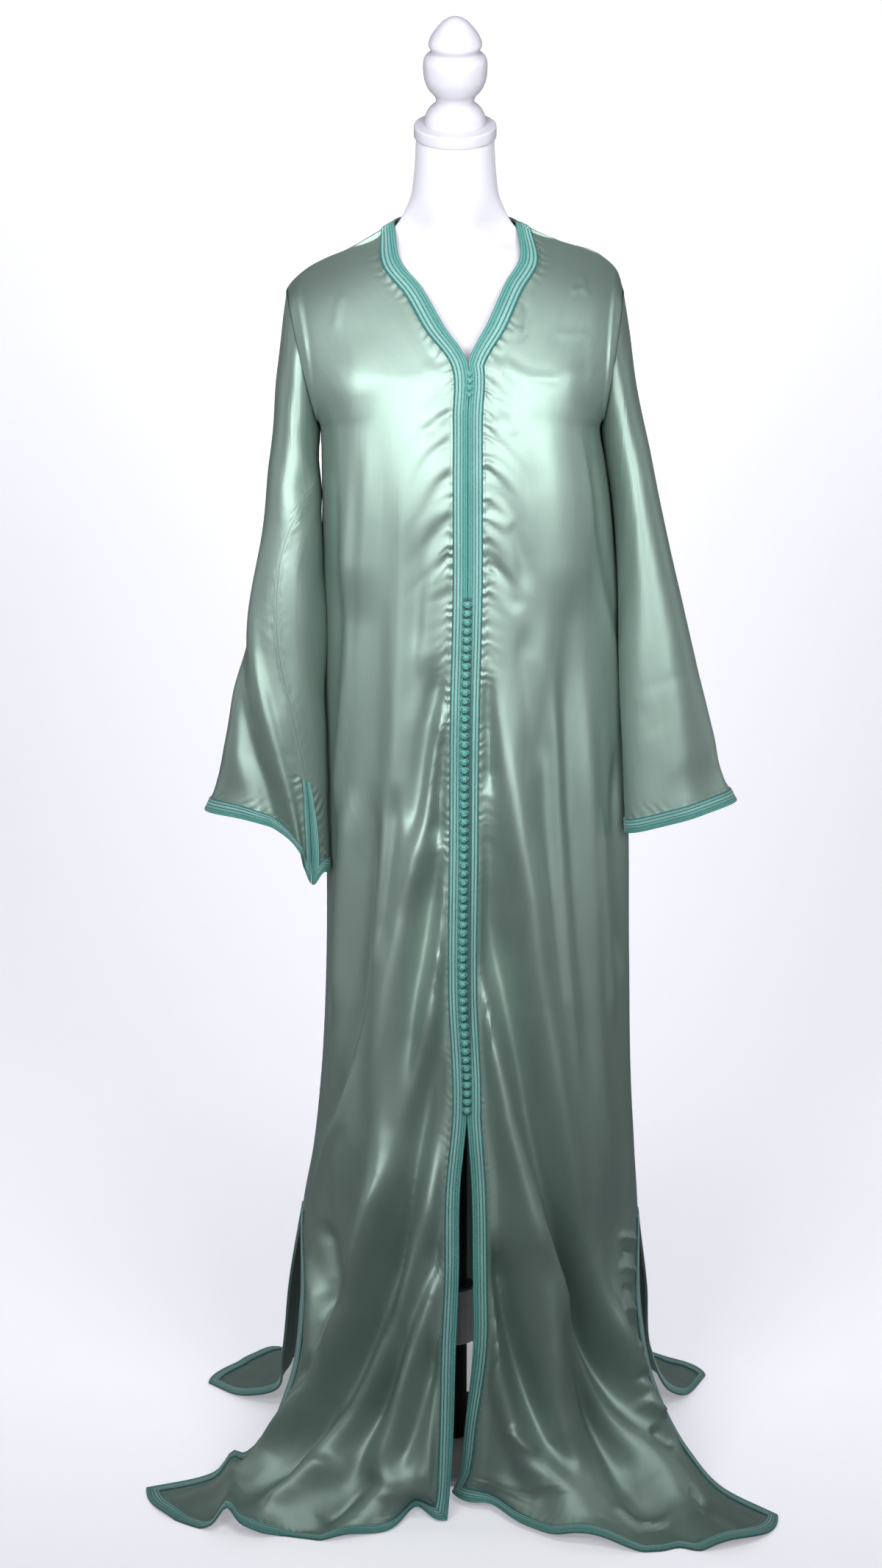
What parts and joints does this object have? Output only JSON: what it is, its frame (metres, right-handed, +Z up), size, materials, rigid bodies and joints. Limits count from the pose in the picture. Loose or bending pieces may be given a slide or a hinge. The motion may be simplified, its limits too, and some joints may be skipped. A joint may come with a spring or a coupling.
{
  "type": "moroccan kaftan on a dress form",
  "caption": "Long sage green satin Moroccan kaftan with teal braid, a row of knotted buttons, side and front slits and flared sleeves, on a white limbless dress form.",
  "frame": {"origin": "centre of the flat underside of the stand's round foot, on the floor", "axes": "+Z up, -Y the front of the kaftan, +X the wearer's left"},
  "size_m": [0.7564, 0.619, 1.736],
  "materials": {
    "satin": "satin weave, glossy",
    "braid": "ribbed silky cord braid",
    "buttons": "knotted silky cord",
    "form_cover": "smooth white jersey",
    "white_paint": "white satin paint",
    "foot_paint": "grey powder coat",
    "black_steel": "black enamel"
  },
  "bodies": {
    "root": {"front_right": "satin", "front_left": "satin", "back": "satin", "sleeve_right": "satin", "sleeve_left": "satin", "braid_front_right": "braid", "braid_front_left": "braid", "braid_back_neck": "braid", "braid_back_hem": "braid", "braid_cuff_right": "braid", "braid_cuff_left": "braid", "buttons_front": "buttons", "buttons_neck": "buttons", "torso": "form_cover", "neck_cap": "white_paint", "finial": "white_paint", "collar": "foot_paint", "pole": "black_steel", "stem": "black_steel", "base": "foot_paint"}
  },
  "joints": []
}
